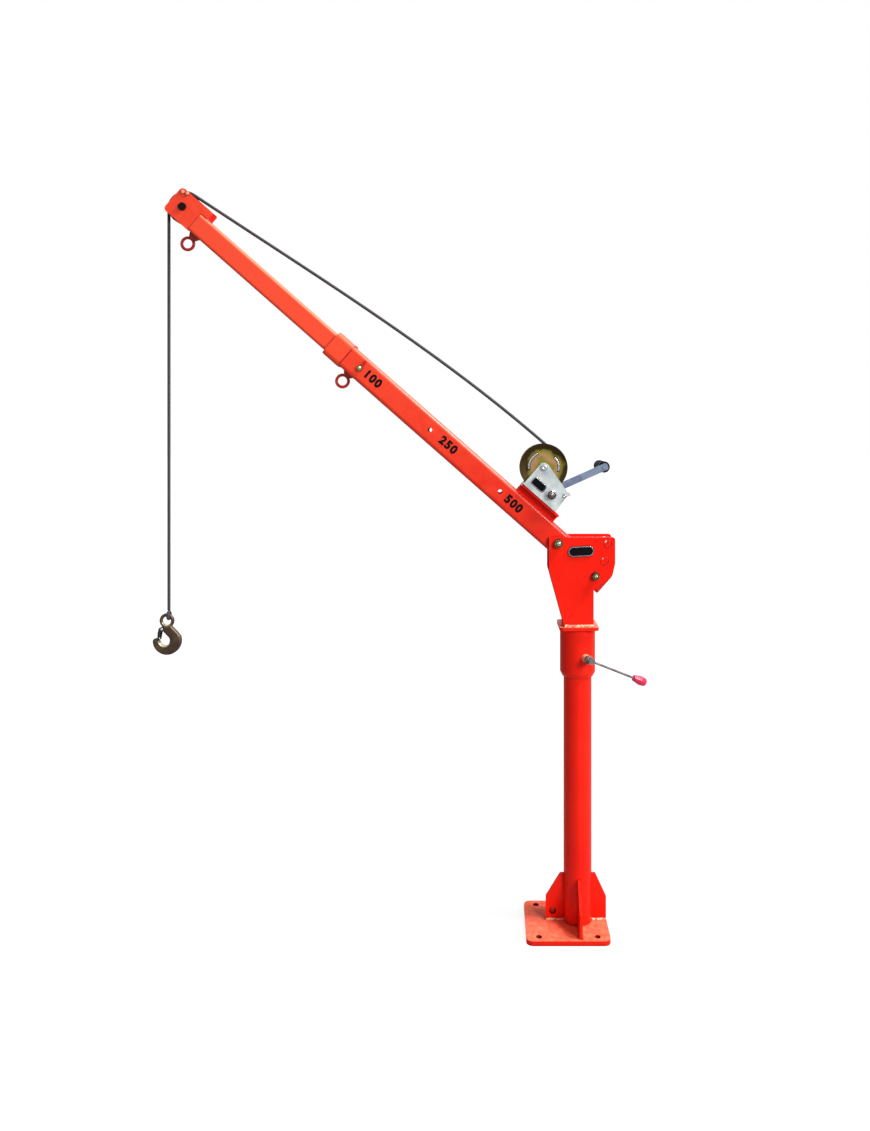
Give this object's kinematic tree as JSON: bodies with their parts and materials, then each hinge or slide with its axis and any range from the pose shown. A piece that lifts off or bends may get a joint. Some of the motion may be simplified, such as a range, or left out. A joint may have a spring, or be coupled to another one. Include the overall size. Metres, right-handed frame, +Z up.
{
  "type": "swing jib crane",
  "caption": "Red post-mounted jib crane with a telescopic boom, hand winch, wire rope and hook.",
  "frame": {"origin": "on the post's axis at the underside of the base plate", "axes": "+Z up along the post, the boom points to -X, the clamp lever is on the -Y side"},
  "size_m": [1.0681, 0.2413, 1.5907],
  "materials": {
    "red_paint": "satin",
    "dark_red_paint": "satin",
    "zinc_plate": "satin",
    "gold_chromate": "satin",
    "steel": "satin",
    "dark_steel": "satin",
    "hook_steel": "satin",
    "wire_rope": "matte",
    "crimson_plastic": "gloss",
    "black_rubber": "matte"
  },
  "bodies": {
    "base": {"base_plate": "red_paint", "gusset_left": "red_paint", "gusset_right": "red_paint", "gusset_front": "red_paint", "gusset_back": "red_paint", "post": "red_paint"},
    "swivel": {"slew_sleeve": "red_paint", "head_base_plate": "red_paint", "head_plate_front": "red_paint", "head_plate_back": "red_paint", "clamp_boss": "red_paint", "pivot_bolt": "gold_chromate", "lock_bolt": "gold_chromate", "lock_nut": "gold_chromate"},
    "clamp_handle": {"clamp_screw": "steel", "clamp_lever": "steel", "lever_knob": "crimson_plastic"},
    "boom": {"outer_tube": "red_paint", "tube_collar": "red_paint", "lower_eye": "dark_red_paint", "winch_seat": "red_paint", "extension_pin": "gold_chromate", "extension_nut": "gold_chromate", "winch_frame": "zinc_plate", "drum_axle": "steel", "pawl_pin": "steel", "rope_run": "wire_rope"},
    "pawl": {"ratchet_pawl": "steel"},
    "winch_drum": {"drum": "gold_chromate", "drum_gear": "zinc_plate", "rope_on_drum": "wire_rope"},
    "crank": {"drive_shaft": "steel", "drive_pinion": "steel", "ratchet_wheel": "steel", "crank_arm": "steel", "crank_pin": "steel"},
    "grip": {"crank_grip": "black_rubber"},
    "boom_extension": {"inner_tube": "red_paint", "tip_cheek_front": "red_paint", "tip_cheek_back": "red_paint", "tip_tie_plate": "red_paint", "sheave_axle": "dark_steel", "upper_eye": "dark_red_paint", "rope_over_sheave": "wire_rope"},
    "tip_sheave": {"sheave": "dark_steel"},
    "load_line": {"rope_fall": "wire_rope"},
    "load_hook": {"rope_eye": "wire_rope", "hook": "hook_steel"},
    "latch": {"hook_latch": "steel"}
  },
  "joints": [
    {"name": "slew", "type": "hinge", "parent": "base", "child": "swivel", "pos_m": [0, 0, 0.644], "axis": [0, 0, 1], "continuous": true},
    {"name": "clamp_turn", "type": "hinge", "parent": "swivel", "child": "clamp_handle", "pos_m": [0, 0, 0.585], "axis": [0.342, -0.9397, 0], "range_deg": [0, 180]},
    {"name": "boom_luff", "type": "hinge", "parent": "swivel", "child": "boom", "pos_m": [-0.044, 0, 0.829], "axis": [0, 1, 0], "range_deg": [-41.4, 0]},
    {"name": "boom_extend", "type": "slide", "parent": "boom", "child": "boom_extension", "axis": [-0.7501, 0, 0.6613], "range_m": [-0.355, 0], "deforming": ["rope_run"]},
    {"name": "sheave_spin", "type": "hinge", "parent": "boom_extension", "child": "tip_sheave", "pos_m": [-0.85179, 0, 1.55116], "axis": [0, 1, 0], "range_deg": [-895, 1220]},
    {"name": "load_hang", "type": "hinge", "parent": "boom_extension", "child": "load_line", "pos_m": [-0.85179, 0, 1.55116], "axis": [0, 1, 0], "range_deg": [0, 41.4]},
    {"name": "hook_hoist", "type": "slide", "parent": "load_line", "child": "load_hook", "axis": [0, 0, 1], "range_m": [-0.551, 0.751], "deforming": ["rope_fall"]},
    {"name": "latch_swing", "type": "hinge", "parent": "load_hook", "child": "latch", "pos_m": [-0.89999, 0, 0.63956], "axis": [0, 1, 0], "range_deg": [-28, 0], "stiffness_Nm_per_rad": 0.02, "springref_deg": 8.59},
    {"name": "crank_spin", "type": "hinge", "parent": "boom", "child": "crank", "pos_m": [-0.05933, 0, 0.93263], "axis": [0, -1, 0], "range_deg": [-3127.7, 4265.1]},
    {"name": "drum_spin", "type": "hinge", "parent": "boom", "child": "winch_drum", "pos_m": [-0.07485, 0, 0.99058], "axis": [0, 1, 0], "range_deg": [-784, 1069]},
    {"name": "pawl_swing", "type": "hinge", "parent": "boom", "child": "pawl", "pos_m": [-0.03087, 0, 0.92967], "axis": [0, 1, 0], "range_deg": [0, 15]},
    {"name": "grip_spin", "type": "hinge", "parent": "crank", "child": "grip", "pos_m": [0.06583, 0, 0.98835], "axis": [0, 1, 0], "continuous": true}
  ],
  "couplings": [
    {"joint": "drum_spin", "follows": "crank_spin", "ratio": 0.25},
    {"joint": "sheave_spin", "follows": "crank_spin", "ratio": 0.28541},
    {"joint": "hook_hoist", "follows": "crank_spin", "m_per_rad": 0.010075},
    {"joint": "load_hang", "follows": "boom_luff", "ratio": -1}
  ]
}
